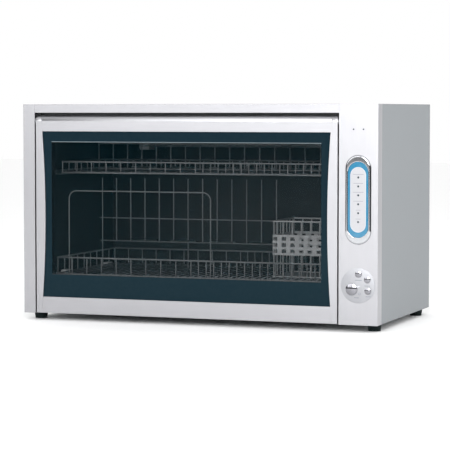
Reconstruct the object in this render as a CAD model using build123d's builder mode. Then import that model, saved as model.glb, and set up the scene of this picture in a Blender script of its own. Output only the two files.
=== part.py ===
from build123d import *
import os
from math import cos, pi, sin

os.makedirs("parts", exist_ok=True)

# A table-top cabinet that dries and sterilizes dishes behind a lift-up glass door.
# Millimetres. +X is to the right, -Y is the front and +Z is up. The origin is on the
# table, under the middle of the overall box.

# ---------------------------------------------------------------- driving dimensions

# Body
BODY_WIDTH = 740
BODY_HEIGHT = 420
BODY_DEPTH = 390
SHEET = 0.8  # painted outer panels and inner tub
SCREW_FLANGE = 14  # folded edge that takes the rear screws

# Front frame, folded from thicker stainless sheet
FRONT_SHEET = 1.5
FRONT_RETURN = 28
POST_WIDTH = 25
COLUMN_WIDTH = 77
RAIL_HEIGHT = 17

# Door
DOOR_THICKNESS = 24
DOOR_SIDE_GAP = 3
DOOR_TOP_GAP = 4.5
DOOR_BOTTOM_GAP = 1
TOP_STRIP_HEIGHT = 32.5
BOTTOM_STRIP_HEIGHT = 32.5
SIDE_STRIP_END = 11
SIDE_STRIP_MIDDLE = 20
STRIP_LEAF = 3
STRIP_EDGE = 1.5
GLASS_THICKNESS = 4
GLASS_CLEARANCE = 0.5
INNER_FRAME_WIDTH = 30
SEAL_WIDTH = 8
SEAL_EDGE = 5  # from the door's side edge
SEAL_MARGIN = 3  # from the mouth of the tub
SEAL_CLEARANCE = 0.3
PIN_DIAMETER = 6
PIN_RUNNING_GAP = 0.05
PIN_GRIP = 14  # length held in the door's inner frame
BOSS_DIAMETER = 15
BOSS_CLEARANCE = 0.3
BOSS_END_GAP = 0.5
BRACKET_THICKNESS = 6
BRACKET_HEIGHT = 60

# Inner tub
TUB_INSET = 20  # from the door opening to the tub's side wall
TUB_BASE = 48  # tub floor above the bottom of the body
TUB_HEIGHT = 316
TUB_DEPTH = 317
SILL_FLANGE = 15
TUB_SLOT = (60, 5)
TUB_SLOT_PITCH = (90, 158)
TUB_SLOT_COUNT = (6, 2)

# Wire racks
RIM_WIRE = 3.4
FILL_WIRE = 2.5
REST_GAP = 0.3  # under everything that slides
WELD = 0.4  # how far crossing wires of one piece are pressed into each other
RACK_WALL_GAP = 9  # from the tub's side wall to the middle of the rack's side wires
RUNNER_WIDTH = 16
RUNNER_SHEET = 1.5
RUNNER_FRONT = 12
RUNNER_REAR = 7

LOWER_RUNNER_TOP = 22  # above the tub floor
LOWER_RACK_FRONT = 17  # behind the frame plane
LOWER_RACK_DEPTH = 290
LOWER_FENCE_HEIGHT = 34
DIVIDER_COUNT = 13
DIVIDER_PITCH = 32.2
DIVIDER_BACK = 170  # behind the rack's front wire
DIVIDER_HEIGHT = 186  # above the rack's floor
DIVIDER_LEG_EVERY = 6  # this many dividers apart, one reaches down to the floor
TIE_HEIGHTS = (54, 102)  # the long wires behind the dividers
TIE_OVERHANG = 8
CLOSE_POSTS_FROM = 9  # the post from which there is one more between each two
LOOP_HEIGHT = 165  # the plate guard, just behind the front fence
LOOP_START = 1  # the floor wire under its left leg
LOOP_SPAN = 19  # in floor wire pitches
LOOP_BEND = 16
SLIDER_SIZE = (12, 26, 12)
SLIDER_INSET = 40

BASKET_WIDTH = 118
BASKET_DEPTH = 128
BASKET_HEIGHT = 112
BASKET_RIGHT_GAP = 9
BASKET_FRONT_GAP = 22
BASKET_PITCH = 18
BASKET_SHEET = 1.2
BASKET_BAND = 40  # the pierced band round its middle
BASKET_BAND_RISE = 44  # from the basket's floor to the band
BASKET_HOLE = (9, 7)
BASKET_HOLE_PITCH = 12
BASKET_HOLE_ROWS = 3

UPPER_RUNNER_TOP = 231.5
UPPER_RACK_FRONT = 42
UPPER_RACK_DEPTH = 215
UPPER_FENCE_HEIGHT = 22
CUP_COMB_HEIGHT = 52
CUP_COMB_BACK = 110

# Drip tray
TRAY_SIDE_GAP = 19
TRAY_FRONT = 8
TRAY_DEPTH = 296
TRAY_HEIGHT = 15
TRAY_SHEET = 1
TRAY_LIP = 7

# Ultraviolet lamp
LAMP_LENGTH = 400
LAMP_DIAMETER = 16
LAMP_BELOW_ROOF = 26
LAMP_FROM_BACK = 20
HOLDER_WIDTH = 22
HOLDER_DEPTH = 34
HOLDER_HEIGHT = 28
HOLDER_ROUND = 7
GUARD_WIRE = 2
GUARD_PITCH = 20

# Warm air unit, on the tub's right wall
FAN_FRAME = 92
FAN_BORE = 86
FAN_THICKNESS = 25
FAN_BACK = 245  # its axis, behind the front face
FAN_ABOVE_FLOOR = 93
FAN_STRUT = 4
ROTOR_TIP_GAP = 2
ROTOR_HUB = 40
ROTOR_HUB_WALL = 3
ROTOR_END_GAP = 2.5
ROTOR_DEPTH = 14
BLADE_COUNT = 7
BLADE_PITCH_DEGREES = 38
BLADE_THICKNESS = 1.6
BLADE_CHORD = 17
SHAFT_DIAMETER = 4
SHAFT_RUNNING_GAP = 0.05
MOTOR_DIAMETER = 30
MOTOR_LENGTH = 11
HEATER_THICKNESS = 18
HEATER_WALL = 6
HEATER_BARS = 6
HEATER_BAR_HEIGHT = 5
GRILLE_THICKNESS = 1.2
GRILLE_MARGIN = 4
GRILLE_CORNER = 6
GRILLE_SLOT = (74, 4.8)
GRILLE_SLOT_PITCH = 9.5
GRILLE_SLOTS = 9

# Controls, placed from the column's middle and the bottom of the body
DISC_DIAMETER = 67
DISC_HEIGHT_UP = 75.5
DISC_RIM = 1.2
DISC_DOME = 3
SPIGOT_DIAMETER = 58
SPIGOT_DEPTH = 5
PANEL_CLEARANCE = 0.2
POWER_DIAMETER = 22.5
POWER_PLACE = (-12, -7.2)
POWER_PROUD = 6.5
POWER_TRAVEL = 1.5
OPTION_DIAMETER = 12.5
OPTION_PLACES = [(1.4, 22), (18.7, 11.8), (19.8, -9.8)]
OPTION_PROUD = 4.8
OPTION_TRAVEL = 1.0
BUTTON_CLEARANCE = 0.2
BUTTON_FLANGE = 1.5  # past the cap all round
BUTTON_FLANGE_THICKNESS = 1.2
STEM_DIAMETER = 4

INDICATOR_UP = 238.7
BEZEL_SIZE = (170, 51)
BEZEL_PROUD = 4
BEZEL_OUTER_ROUND = 3.7
BEZEL_INNER_ROUND = 1.5
RING_SIZE = (143.5, 40)
RING_PROUD = 2.2
INSERT_SIZE = (124, 31)
INSERT_PROUD = 1.4
INDICATOR_DEPTH = 3
BEZEL_TONGUE = 3  # band behind the panel face, around the ring
LAMP_COUNT = 6
LAMP_PITCH = 16.9
LAMP_GUIDE = 4
LAMP_GUIDE_PROUD = 2
LAMP_GUIDE_CROWN = 0.8

LENS_DIAMETER = 3
LENS_BELOW_TOP = 48
LENS_PITCH = 19.5
LENS_PROUD = 0.6
LENS_FLANGE = 6

BOARD_DEPTH = 14  # its front face, behind the panel's face
BOARD_SIZE = (58, 306)
BOARD_THICKNESS = 1.6
STANDOFF_DIAMETER = 6
STANDOFF_INSET = 4
SWITCH_SIZE = 6
SWITCH_BODY = 3.5
SWITCH_PLUNGER = 1
PLUNGER_DIAMETER = 3.4

SUPPLY_SIZE = (56, 110, 46)
SUPPLY_FRONT = 70
SUPPLY_RIGHT_GAP = 16
SUPPLY_CHAMFER = 3

# Rear
REAR_PROUD = 2
SCREW_HEAD = (8, 1.8)
SCREW_DIAMETER = 4
SCREW_LENGTH = 8
REAR_SIDE_SCREWS = 3
REAR_LONG_SCREWS = 5
INLET_FLANGE = (50, 24)
INLET_BODY = (28, 20)
INLET_DEPTH = 24
INLET_RECESS = (24, 16)
INLET_RECESS_DEPTH = 18
INLET_RIGHT_GAP = 50
INLET_UP = 40
INLET_CORNER = 4
INLET_PIN = (2, 12, 4)
INLET_PIN_PLACES = [(-7, -2), (0, 3), (7, -2)]
VENT_SLOT = (44, 5)
VENT_ROWS = 9
VENT_PITCH = 12

# Feet
FOOT_HEIGHT = 14
FOOT_DIAMETER = 28
FOOT_BOTTOM_DIAMETER = 24
FOOT_SIDE_INSET = 18
FOOT_FRONT = 42
FOOT_REAR = 40
FOOT_RECESS = (11, 7)
FOOT_SCREW_HEAD = 3
FOOT_SCREW_END = 3.5  # above the base pan

# ---------------------------------------------------------------- places

front = -(BODY_DEPTH + REAR_PROUD - POWER_PROUD) / 2
rear = front + BODY_DEPTH
left, right = -BODY_WIDTH / 2, BODY_WIDTH / 2
bottom, top = FOOT_HEIGHT, FOOT_HEIGHT + BODY_HEIGHT

post_x = (left, left + POST_WIDTH)
column_x = (right - COLUMN_WIDTH, right)
rail_z = (top - RAIL_HEIGHT, top)
return_y = (front, front + FRONT_RETURN)
flange_y = (return_y[1] - SHEET, return_y[1])  # the plane that the door's seal closes on
panel_end = rear - SHEET

door_x = (post_x[1] + DOOR_SIDE_GAP, column_x[0] - DOOR_SIDE_GAP)
door_z = (bottom + DOOR_BOTTOM_GAP, rail_z[0] - DOOR_TOP_GAP)
door_back = front + DOOR_THICKNESS
round_radius = DOOR_THICKNESS / 2  # the door's top edge is a half round about its pins
pivot_y = front + round_radius
pivot_z = door_z[1] - round_radius
glass_y = (front + STRIP_LEAF, front + STRIP_LEAF + GLASS_THICKNESS)
top_strip_low = door_z[1] - TOP_STRIP_HEIGHT
bottom_strip_high = door_z[0] + BOTTOM_STRIP_HEIGHT
inner_radius = round_radius - STRIP_LEAF

tub_x = (post_x[1] + TUB_INSET, column_x[0] - TUB_INSET)
tub_z = (bottom + TUB_BASE, bottom + TUB_BASE + TUB_HEIGHT)
tub_back = return_y[1] + TUB_DEPTH

rack_x = (tub_x[0] + RACK_WALL_GAP, tub_x[1] - RACK_WALL_GAP)
runner_y = (return_y[1] + RUNNER_FRONT, tub_back - RUNNER_REAR)
lower_runner_z = tub_z[0] + LOWER_RUNNER_TOP
slider_z = (lower_runner_z + REST_GAP, lower_runner_z + REST_GAP + SLIDER_SIZE[2])
lower_wire_z = slider_z[1] - SLIDER_SIZE[2] / 2
lower_floor_z = lower_wire_z + (RIM_WIRE + FILL_WIRE) / 2
lower_deck_z = lower_floor_z + FILL_WIRE / 2
lower_rim_z = lower_wire_z + LOWER_FENCE_HEIGHT
lower_y = (return_y[1] + LOWER_RACK_FRONT, return_y[1] + LOWER_RACK_FRONT + LOWER_RACK_DEPTH)
divider_y = lower_y[0] + DIVIDER_BACK
tie_y = divider_y + FILL_WIRE + REST_GAP
tie_z = [lower_deck_z + height for height in TIE_HEIGHTS]

basket_x = (rack_x[1] - BASKET_RIGHT_GAP - BASKET_WIDTH, rack_x[1] - BASKET_RIGHT_GAP)
basket_y = (lower_y[0] + BASKET_FRONT_GAP, lower_y[0] + BASKET_FRONT_GAP + BASKET_DEPTH)
basket_z = (lower_deck_z, lower_deck_z + BASKET_HEIGHT)

upper_runner_z = tub_z[0] + UPPER_RUNNER_TOP
upper_wire_z = upper_runner_z + REST_GAP + RIM_WIRE / 2
upper_floor_z = upper_wire_z + (RIM_WIRE + FILL_WIRE) / 2
upper_rim_z = upper_wire_z + UPPER_FENCE_HEIGHT
upper_y = (return_y[1] + UPPER_RACK_FRONT, return_y[1] + UPPER_RACK_FRONT + UPPER_RACK_DEPTH)
comb_y = upper_y[0] + CUP_COMB_BACK

tray_x = (tub_x[0] + TRAY_SIDE_GAP, tub_x[1] - TRAY_SIDE_GAP)
tray_y = (return_y[1] + TRAY_FRONT, return_y[1] + TRAY_FRONT + TRAY_DEPTH)
tray_z = (tub_z[0] + REST_GAP, tub_z[0] + REST_GAP + TRAY_HEIGHT)

tub_middle = (tub_x[0] + tub_x[1]) / 2
lamp_x = (tub_middle - LAMP_LENGTH / 2, tub_middle + LAMP_LENGTH / 2)
lamp_y = tub_back - LAMP_FROM_BACK
lamp_z = tub_z[1] - LAMP_BELOW_ROOF

fan_y = front + FAN_BACK
fan_z = tub_z[0] + FAN_ABOVE_FLOOR
heater_x = (tub_x[1] + SHEET, tub_x[1] + SHEET + HEATER_THICKNESS)
fan_x = (heater_x[1], heater_x[1] + FAN_THICKNESS)
carrier_x = (fan_x[1] - FAN_STRUT, fan_x[1])
motor_x = (carrier_x[0] - MOTOR_LENGTH, carrier_x[0])
rotor_x = (fan_x[0] + ROTOR_END_GAP, fan_x[0] + ROTOR_END_GAP + ROTOR_DEPTH)

column_middle = (column_x[0] + column_x[1]) / 2
disc_z = bottom + DISC_HEIGHT_UP
indicator_z = bottom + INDICATOR_UP
lens_z = top - LENS_BELOW_TOP
panel_back = front + FRONT_SHEET
board_y = (front + BOARD_DEPTH, front + BOARD_DEPTH + BOARD_THICKNESS)
board_z = (disc_z - DISC_DIAMETER / 2, disc_z - DISC_DIAMETER / 2 + BOARD_SIZE[1])
plunger_y = board_y[0] - SWITCH_BODY - SWITCH_PLUNGER
power_at = (column_middle + POWER_PLACE[0], disc_z + POWER_PLACE[1])
option_at = [(column_middle + x, disc_z + z) for x, z in OPTION_PLACES]
lamp_guides = [indicator_z + LAMP_PITCH * (i - (LAMP_COUNT - 1) / 2) for i in range(LAMP_COUNT)]
lens_x = [column_middle - LENS_PITCH / 2, column_middle + LENS_PITCH / 2]

screw_edge = SHEET + SCREW_FLANGE / 2
screw_z = [
    bottom + BODY_HEIGHT * (i + 1) / (REAR_SIDE_SCREWS + 1) for i in range(REAR_SIDE_SCREWS)
]
screw_x = [
    left + BODY_WIDTH * (i + 0.5) / REAR_LONG_SCREWS for i in range(REAR_LONG_SCREWS)
]
side_screws = [(x, z) for x in (left + screw_edge, right - screw_edge) for z in screw_z]
long_screws = [(x, z) for x in screw_x for z in (bottom + screw_edge, top - screw_edge)]
inlet_at = (right - INLET_RIGHT_GAP, bottom + INLET_UP)

feet_at = [
    (x, y)
    for x in (left + FOOT_SIDE_INSET, right - FOOT_SIDE_INSET)
    for y in (front + FOOT_FRONT, rear - FOOT_REAR)
]


def save(part, name):
    """Label a finished piece and write it out."""
    part.label = name
    export_step(part, f"parts/{name}.step")


def block(x, y, z, mode=Mode.ADD):
    """A box between the two limits given along each axis."""
    with Locations(((x[0] + x[1]) / 2, (y[0] + y[1]) / 2, (z[0] + z[1]) / 2)):
        Box(x[1] - x[0], y[1] - y[0], z[1] - z[0], mode=mode)


def rods(runs, diameter, mode=Mode.ADD):
    """Round bars, each from one point to another, joined to the part in one step."""
    bars = []
    for start, end in runs:
        run = Vector(*end) - Vector(*start)
        bars.append(Solid.make_cylinder(diameter / 2, run.length, Plane(origin=start, z_dir=run)))
    add(bars, mode=mode)


def rod(start, end, diameter, mode=Mode.ADD):
    """One round bar from one point to another."""
    rods([(start, end)], diameter, mode)


def facing(y):
    """The upright plane at depth y, seen from the front, with X across and Z up."""
    return Plane.XZ.offset(-y)


def stations(low, high, pitch):
    """Evenly spaced places between two ends, with one at each end and a pitch near the one given."""
    count = max(1, round((high - low) / pitch))
    return [low + (high - low) * i / count for i in range(count + 1)]


def inside(limits, margin):
    """Two limits, drawn in by a margin at both ends."""
    return (limits[0] + margin, limits[1] - margin)


# ---------------------------------------------------------------- front frame

with BuildPart() as left_post:
    block(post_x, return_y, (bottom, top))
    block(
        inside(post_x, FRONT_SHEET),
        (front + FRONT_SHEET, return_y[1]),
        inside((bottom, top), FRONT_SHEET),
        Mode.SUBTRACT,
    )
    boss_hole = BOSS_DIAMETER + 2 * BOSS_CLEARANCE
    rod(
        (post_x[1] - FRONT_SHEET, pivot_y, pivot_z),
        (post_x[1], pivot_y, pivot_z),
        boss_hole,
        Mode.SUBTRACT,
    )
save(left_post.part, "left_post")

with BuildPart() as top_rail:
    rail_x = (post_x[1], column_x[0])
    block(rail_x, return_y, rail_z)
    block(
        inside(rail_x, FRONT_SHEET),
        (front + FRONT_SHEET, return_y[1]),
        inside(rail_z, FRONT_SHEET),
        Mode.SUBTRACT,
    )
save(top_rail.part, "top_rail")

with BuildPart() as control_fascia:
    block(column_x, return_y, (bottom, top))
    block(
        inside(column_x, FRONT_SHEET),
        (panel_back, return_y[1]),
        inside((bottom, top), FRONT_SHEET),
        Mode.SUBTRACT,
    )
    rod(
        (column_x[0], pivot_y, pivot_z),
        (column_x[0] + FRONT_SHEET, pivot_y, pivot_z),
        boss_hole,
        Mode.SUBTRACT,
    )
    with BuildSketch(facing(front)):
        with Locations((column_middle, disc_z)):
            Circle(SPIGOT_DIAMETER / 2 + PANEL_CLEARANCE)
        with Locations((column_middle, indicator_z)):
            SlotOverall(
                RING_SIZE[0] + 2 * (BEZEL_TONGUE + PANEL_CLEARANCE),
                RING_SIZE[1] + 2 * (BEZEL_TONGUE + PANEL_CLEARANCE),
                rotation=90,
            )
        with Locations(*[(x, lens_z) for x in lens_x]):
            Circle(LENS_DIAMETER / 2)
    extrude(amount=-FRONT_SHEET, mode=Mode.SUBTRACT)
save(control_fascia.part, "control_fascia")

# ---------------------------------------------------------------- outer panels


def side_panel(web_x, flange_x):
    """One side of the body, with a flange at its rear edge for the screws."""
    with BuildPart() as panel:
        block(web_x, (return_y[1], panel_end), (bottom, top))
        block(
            flange_x,
            (panel_end - SHEET, panel_end),
            inside((bottom, top), SHEET + SCREW_FLANGE),
        )
        screw_holes((panel_end - SHEET, panel_end), side_screws)
    return panel.part


def screw_holes(y, places):
    """Holes for the rear screws through a sheet between two depths."""
    rods([((x, y[0], z), (x, y[1], z)) for x, z in places], SCREW_DIAMETER, Mode.SUBTRACT)


panel_x = inside((left, right), SHEET)
save(side_panel((left, panel_x[0]), (panel_x[0], panel_x[0] + SCREW_FLANGE)), "left_side_panel")
save(side_panel((panel_x[1], right), (panel_x[1] - SCREW_FLANGE, panel_x[1])), "right_side_panel")

with BuildPart() as top_panel:
    block(panel_x, (return_y[1], panel_end), (top - SHEET, top))
    block(panel_x, (panel_end - SHEET, panel_end), (top - SHEET - SCREW_FLANGE, top - SHEET))
    screw_holes((panel_end - SHEET, panel_end), long_screws)
save(top_panel.part, "top_panel")

with BuildPart() as base_pan:
    base_top = bottom + SHEET
    block(panel_x, (return_y[1], panel_end), (bottom, base_top))
    block(panel_x, (panel_end - SHEET, panel_end), (base_top, base_top + SCREW_FLANGE))
    for edge in ((panel_x[0], panel_x[0] + SHEET), (panel_x[1] - SHEET, panel_x[1])):
        block(edge, (return_y[1], panel_end - SHEET), (base_top, base_top + SCREW_FLANGE))
    screw_holes((panel_end - SHEET, panel_end), long_screws)
    for x, y in feet_at:
        rod((x, y, bottom), (x, y, base_top), SCREW_DIAMETER, Mode.SUBTRACT)
save(base_pan.part, "base_pan")

with BuildPart() as rear_panel:
    with BuildSketch(facing(rear)):
        with Locations((0, (bottom + top) / 2)):
            Rectangle(BODY_WIDTH, BODY_HEIGHT)
        with Locations(*side_screws, *long_screws):
            Circle(SCREW_DIAMETER / 2, mode=Mode.SUBTRACT)
        with Locations(inlet_at):
            Rectangle(INLET_BODY[0], INLET_BODY[1], mode=Mode.SUBTRACT)
        with Locations((fan_x[1], fan_z)):
            with GridLocations(0, VENT_PITCH, 1, VENT_ROWS):
                SlotOverall(*VENT_SLOT, mode=Mode.SUBTRACT)
    extrude(amount=SHEET)
save(rear_panel.part, "rear_panel")

# ---------------------------------------------------------------- inner tub


def tub_wall(web_x, flange_x, fan_hole):
    """One side wall of the tub, with the front flange that the door's seal meets."""
    with BuildPart() as wall:
        block(web_x, (flange_y[0], tub_back), (tub_z[0] - SHEET, tub_z[1] + SHEET))
        block(flange_x, flange_y, (tub_z[0] - SHEET, rail_z[0]))
        if fan_hole:
            rod((web_x[0], fan_y, fan_z), (web_x[1], fan_y, fan_z), FAN_BORE, Mode.SUBTRACT)
    return wall.part


save(tub_wall((tub_x[0] - SHEET, tub_x[0]), (post_x[1], tub_x[0]), False), "tub_left_wall")
save(tub_wall((tub_x[1], tub_x[1] + SHEET), (tub_x[1], column_x[0]), True), "tub_right_wall")

with BuildPart() as tub_roof:
    block(tub_x, (flange_y[0], tub_back), (tub_z[1], tub_z[1] + SHEET))
    block(tub_x, flange_y, (tub_z[1] + SHEET, rail_z[0]))
save(tub_roof.part, "tub_roof")

with BuildPart() as tub_floor:
    block(tub_x, (flange_y[0], tub_back), (tub_z[0] - SHEET, tub_z[0]))
save(tub_floor.part, "tub_floor")

with BuildPart() as tub_rear:
    with BuildSketch(facing(tub_back)):
        with Locations((tub_middle, (tub_z[0] + tub_z[1]) / 2)):
            Rectangle(tub_x[1] - tub_x[0] + 2 * SHEET, TUB_HEIGHT + 2 * SHEET)
            with GridLocations(*TUB_SLOT_PITCH, *TUB_SLOT_COUNT):
                SlotOverall(*TUB_SLOT, mode=Mode.SUBTRACT)
    extrude(amount=-SHEET)
save(tub_rear.part, "tub_rear_wall")

with BuildPart() as door_sill:
    sill_x = (post_x[1], column_x[0])
    sill_top = tub_z[0] - SHEET
    block(sill_x, flange_y, (bottom, sill_top))
    block(tub_x, (return_y[1], return_y[1] + SILL_FLANGE), (sill_top - SHEET, sill_top))
    block(sill_x, (return_y[1], return_y[1] + SILL_FLANGE), (base_top, base_top + SHEET))
save(door_sill.part, "door_sill")

# ---------------------------------------------------------------- door


def door_profile(margin_front, margin_top, x, low):
    """The door's section, upright with a half-round top edge about its pins, across a width."""
    radius = round_radius - margin_top
    with BuildPart() as body:
        with BuildSketch(Plane.YZ.offset(x[0])):
            with Locations((pivot_y, pivot_z)):
                Circle(radius)
            with Locations(((front + margin_front + door_back) / 2, (low + pivot_z) / 2)):
                Rectangle(door_back - front - margin_front, pivot_z - low)
        extrude(amount=x[1] - x[0])
    return body.part


door_middle_z = (door_z[0] + door_z[1]) / 2
strip_bulge = SIDE_STRIP_MIDDLE - SIDE_STRIP_END
leaf_y = (front, front + STRIP_LEAF)
door_whole = door_profile(0, 0, door_x, door_z[0])


def side_strip(outer, inward):
    """A side strip: a face leaf whose inner edge bows towards the glass, and an edge leaf."""
    inner = outer + inward * SIDE_STRIP_END
    with BuildPart() as strip:
        with BuildSketch(facing(front)):
            with BuildLine():
                Polyline((inner, door_z[1]), (outer, door_z[1]), (outer, door_z[0]), (inner, door_z[0]))
                ThreePointArc(
                    (inner, door_z[0]),
                    (inner + inward * strip_bulge, door_middle_z),
                    (inner, door_z[1]),
                )
            make_face()
        extrude(amount=-STRIP_LEAF)
        edge = sorted((outer, outer + inward * STRIP_EDGE))
        block(edge, (front, door_back), door_z)
        add(door_whole, mode=Mode.INTERSECT)
        rod((edge[0], pivot_y, pivot_z), (edge[1], pivot_y, pivot_z), PIN_DIAMETER, Mode.SUBTRACT)
    return strip.part


left_strip = side_strip(door_x[0], 1)
right_strip = side_strip(door_x[1], -1)
save(left_strip, "door_left_strip")
save(right_strip, "door_right_strip")

within_x = inside(door_x, STRIP_EDGE)

with BuildPart() as door_top_strip:
    add(door_profile(0, 0, within_x, top_strip_low))
    block(within_x, (front + STRIP_LEAF, door_back), (top_strip_low, pivot_z), Mode.SUBTRACT)
    core = ((within_x[0], pivot_y, pivot_z), (within_x[1], pivot_y, pivot_z))
    rod(*core, 2 * inner_radius, Mode.SUBTRACT)
    add(left_strip, mode=Mode.SUBTRACT)
    add(right_strip, mode=Mode.SUBTRACT)
save(door_top_strip.part, "door_top_strip")

with BuildPart() as door_bottom_strip:
    block(within_x, leaf_y, (door_z[0], bottom_strip_high))
    block(within_x, (leaf_y[1], door_back), (door_z[0], door_z[0] + STRIP_EDGE))
    add(left_strip, mode=Mode.SUBTRACT)
    add(right_strip, mode=Mode.SUBTRACT)
save(door_bottom_strip.part, "door_bottom_strip")

frame_z = (door_z[0] + STRIP_EDGE, pivot_z + inner_radius)

with BuildPart() as door_glass:
    block(
        inside(within_x, GLASS_CLEARANCE),
        glass_y,
        (frame_z[0] + GLASS_CLEARANCE, pivot_z - GLASS_CLEARANCE),
    )
save(door_glass.part, "door_glass")

window_x = inside(within_x, INNER_FRAME_WIDTH)
seal_x = inside(door_x, SEAL_EDGE)
seal_z = inside(tub_z, -SEAL_MARGIN - SEAL_WIDTH)

with BuildPart() as door_inner_frame:
    block(within_x, (glass_y[1], door_back), (frame_z[0], pivot_z))
    rod(*core, 2 * inner_radius)
    block(within_x, (front, glass_y[1]), (frame_z[0], frame_z[1]), Mode.SUBTRACT)
    block(window_x, (glass_y[1], door_back), tub_z, Mode.SUBTRACT)
    for x in (within_x[0], within_x[1] - PIN_GRIP):
        rod((x, pivot_y, pivot_z), (x + PIN_GRIP, pivot_y, pivot_z), PIN_DIAMETER, Mode.SUBTRACT)
save(door_inner_frame.part, "door_inner_frame")

with BuildPart() as door_seal:
    seal_y = (door_back, flange_y[0] - SEAL_CLEARANCE)
    block(seal_x, seal_y, seal_z)
    block(inside(seal_x, SEAL_WIDTH), seal_y, inside(seal_z, SEAL_WIDTH), Mode.SUBTRACT)
save(door_seal.part, "door_seal")

bracket_left = (post_x[1] - FRONT_SHEET - BRACKET_THICKNESS, post_x[1] - FRONT_SHEET)
bracket_right = (column_x[0] + FRONT_SHEET, column_x[0] + FRONT_SHEET + BRACKET_THICKNESS)

with BuildPart() as hinge_pins:
    rod((bracket_left[0], pivot_y, pivot_z), (within_x[0] + PIN_GRIP, pivot_y, pivot_z), PIN_DIAMETER)
    rod((within_x[1] - PIN_GRIP, pivot_y, pivot_z), (bracket_right[1], pivot_y, pivot_z), PIN_DIAMETER)
save(hinge_pins.part, "hinge_pins")

with BuildPart() as hinge_brackets:
    bracket_y = (panel_back, return_y[1])
    bracket_z = (pivot_z - BRACKET_HEIGHT / 2, top - FRONT_SHEET)
    sides = (
        (bracket_left, (bracket_left[1], door_x[0] - BOSS_END_GAP)),
        (bracket_right, (door_x[1] + BOSS_END_GAP, bracket_right[0])),
    )
    for plate_x, boss_x in sides:
        block(plate_x, bracket_y, bracket_z)
        rod((boss_x[0], pivot_y, pivot_z), (boss_x[1], pivot_y, pivot_z), BOSS_DIAMETER)
    rod(
        (bracket_left[0], pivot_y, pivot_z),
        (bracket_right[1], pivot_y, pivot_z),
        PIN_DIAMETER + 2 * PIN_RUNNING_GAP,
        Mode.SUBTRACT,
    )
save(hinge_brackets.part, "hinge_brackets")

# ---------------------------------------------------------------- runners


def runners(ledge_z):
    """A pair of folded angles, one on each side wall of the tub, with their ledges at one height."""
    with BuildPart() as pair:
        for wall, inward in ((tub_x[0], 1), (tub_x[1], -1)):
            ledge = sorted((wall, wall + inward * RUNNER_WIDTH))
            web = sorted((wall, wall + inward * RUNNER_SHEET))
            block(ledge, runner_y, (ledge_z - RUNNER_SHEET, ledge_z))
            block(web, runner_y, (ledge_z, ledge_z + RUNNER_WIDTH / 2))
    return pair.part


save(runners(lower_runner_z), "lower_rack_runners")
save(runners(upper_runner_z), "upper_rack_runners")

# ---------------------------------------------------------------- lower rack

# The racks share their wire places: posts in the fences, two floor wires between each pair
# of posts, and closer posts in the right half.
posts_x = stations(rack_x[0], rack_x[1], DIVIDER_PITCH)
post_pitch = posts_x[1] - posts_x[0]
close_posts_x = [x + post_pitch / 2 for x in posts_x[CLOSE_POSTS_FROM:-1]]
floor_x = stations(rack_x[0] + post_pitch / 4, rack_x[1] - post_pitch / 4, post_pitch / 2)
divider_x = floor_x[1 : 2 * DIVIDER_COUNT : 2]


def fence(start, end, low_z, high_z, places):
    """An upright flat grille: a wire at the bottom, a rim wire, and upright wires between them."""
    with BuildPart() as grille:
        rods([((*start, z), (*end, z)) for z in (low_z, high_z)], RIM_WIRE)
        rods([((x, y, low_z), (x, y, high_z)) for x, y in places], FILL_WIRE)
    return grille.part


def fences(y, low_z, high_z):
    """Four flat fences round a rack. The side ones stand between the front and rear ones."""
    side_y = inside(y, RIM_WIRE / 2)
    ends = inside(rack_x, -RIM_WIRE / 2)
    sides_y = stations(y[0], y[1], post_pitch)[1:-1]
    four = []
    for place_y in y:
        posts = [(x, place_y) for x in (*posts_x, *close_posts_x)]
        four.append(fence((ends[0], place_y), (ends[1], place_y), low_z, high_z, posts))
    for x in rack_x:
        posts = [(x, place_y) for place_y in sides_y]
        four.append(fence((x, side_y[0]), (x, side_y[1]), low_z, high_z, posts))
    return four


def floor_grille(y, fill_z):
    """A rack's floor: wires from front to rear, with two cross wires welded under them."""
    cross_z = fill_z - (RIM_WIRE + FILL_WIRE) / 2 + WELD
    ends = inside(y, -RIM_WIRE / 2)
    reach = inside(rack_x, RIM_WIRE / 2)
    cross_y = [y[0] + (y[1] - y[0]) * share for share in (1 / 3, 2 / 3)]
    with BuildPart() as grille:
        rods([((x, ends[0], fill_z), (x, ends[1], fill_z)) for x in floor_x], FILL_WIRE)
        rods([((reach[0], place, cross_z), (reach[1], place, cross_z)) for place in cross_y], RIM_WIRE)
    return grille.part


lower_fences = fences(lower_y, lower_wire_z, lower_rim_z)


def bent_wire(plane, corners, bend):
    """A fill wire along a path in a plane, with round bends."""
    with BuildPart() as wire:
        with BuildLine(plane) as path:
            FilletPolyline(*corners, radius=bend)
        with BuildSketch(Plane(origin=path.line @ 0, z_dir=path.line % 0)):
            Circle(FILL_WIRE / 2)
        sweep()
    return wire.part


# An upright loop that keeps plates from rolling forward. It stands on two floor wires.
loop_x = (floor_x[LOOP_START], floor_x[LOOP_START + LOOP_SPAN])
loop_y = lower_y[0] + (RIM_WIRE + FILL_WIRE) / 2 + REST_GAP
loop_z = (lower_deck_z, lower_deck_z + LOOP_HEIGHT)
loop_corners = [
    (loop_x[0], loop_z[0]),
    (loop_x[0], loop_z[1]),
    (loop_x[1], loop_z[1]),
    (loop_x[1], loop_z[0]),
]
plate_guard = bent_wire(facing(loop_y), loop_corners, LOOP_BEND)

save(Compound(children=[*lower_fences, plate_guard]), "lower_rack_fences")
save(floor_grille(lower_y, lower_floor_z), "lower_rack_floor")


def divider(x, low_z):
    """One plate divider: an upright wire."""
    with BuildPart() as upright:
        rod((x, divider_y, low_z), (x, divider_y, lower_deck_z + DIVIDER_HEIGHT), FILL_WIRE)
    return upright.part


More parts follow.
